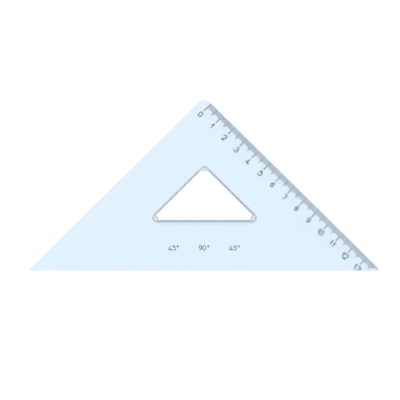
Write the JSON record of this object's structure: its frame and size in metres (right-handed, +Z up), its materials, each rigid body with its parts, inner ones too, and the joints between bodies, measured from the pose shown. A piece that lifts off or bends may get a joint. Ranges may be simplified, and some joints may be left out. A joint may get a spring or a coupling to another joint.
{
  "type": "drafting triangle",
  "caption": "Flat clear plastic 45 degree set square with a triangular window and a raised, inked centimetre and millimetre scale along one leg.",
  "frame": {"origin": "under the middle of the plate's bounding box, on the surface that it lies on", "axes": "+X along the long edge, with the scale's far end at +X; +Y towards the square corner; +Z up out of the printed face"},
  "size_m": [0.2056, 0.102, 0.0021],
  "materials": {
    "clear_blue_plastic": "clear pale blue injection-moulded polystyrene, polished",
    "black_ink": "thin matt black film of hot-stamped ink"
  },
  "bodies": {
    "root": {"moulded_plate": "clear_blue_plastic", "centimetre_mark_00": "black_ink", "centimetre_mark_01": "black_ink", "centimetre_mark_02": "black_ink", "centimetre_mark_03": "black_ink", "centimetre_mark_04": "black_ink", "centimetre_mark_05": "black_ink", "centimetre_mark_06": "black_ink", "centimetre_mark_07": "black_ink", "centimetre_mark_08": "black_ink", "centimetre_mark_09": "black_ink", "centimetre_mark_10": "black_ink", "centimetre_mark_11": "black_ink", "centimetre_mark_12": "black_ink", "centimetre_mark_13": "black_ink", "half_centimetre_mark_00": "black_ink", "half_centimetre_mark_01": "black_ink", "half_centimetre_mark_02": "black_ink", "half_centimetre_mark_03": "black_ink", "half_centimetre_mark_04": "black_ink", "half_centimetre_mark_05": "black_ink", "half_centimetre_mark_06": "black_ink", "half_centimetre_mark_07": "black_ink", "half_centimetre_mark_08": "black_ink", "half_centimetre_mark_09": "black_ink", "half_centimetre_mark_10": "black_ink", "half_centimetre_mark_11": "black_ink", "half_centimetre_mark_12": "black_ink", "half_centimetre_mark_13": "black_ink"}
  },
  "joints": []
}
